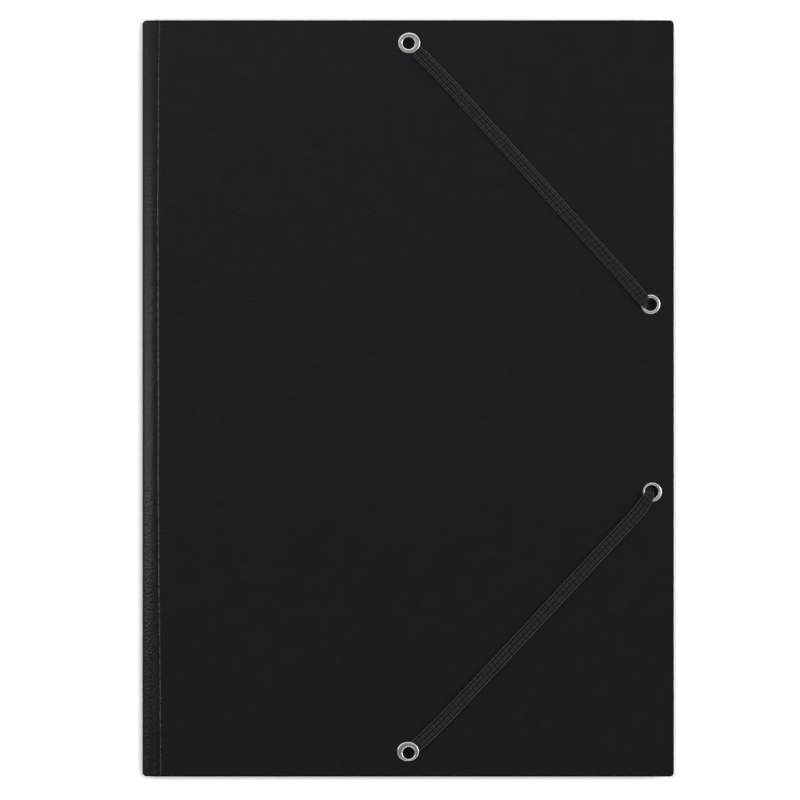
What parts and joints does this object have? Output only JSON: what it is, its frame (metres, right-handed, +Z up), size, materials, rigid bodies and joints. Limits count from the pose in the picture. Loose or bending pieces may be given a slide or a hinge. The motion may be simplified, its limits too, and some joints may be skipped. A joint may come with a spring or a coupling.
{
  "type": "elastic folder",
  "caption": "Three-flap folder of black glossy board, its diagonal elastic held by nickel eyelets, with a cover that opens at the spine fold.",
  "frame": {"origin": "middle of the closed folder on the surface it lies on", "axes": "+X from the spine fold to the fore-edge, +Y from the foot to the head, +Z up out of the front cover"},
  "size_m": [0.225, 0.32, 0.0061],
  "materials": {
    "board": "black, glossy orange-peel varnish",
    "nickel": "bright nickel plate",
    "elastic": "ribbed black flat elastic"
  },
  "bodies": {
    "back": {"back_cover_with_flaps": "board"},
    "cover": {"front_cover": "board", "top_eyelet": "nickel", "bottom_eyelet": "nickel", "upper_right_eyelet": "nickel", "lower_right_eyelet": "nickel", "elastic_band": "elastic"}
  },
  "joints": [
    {"name": "cover_hinge", "type": "hinge", "parent": "back", "child": "cover", "pos_m": [-0.11225, 0, 0.00225], "axis": [0, -1, 0], "range_deg": [0, 178]}
  ]
}
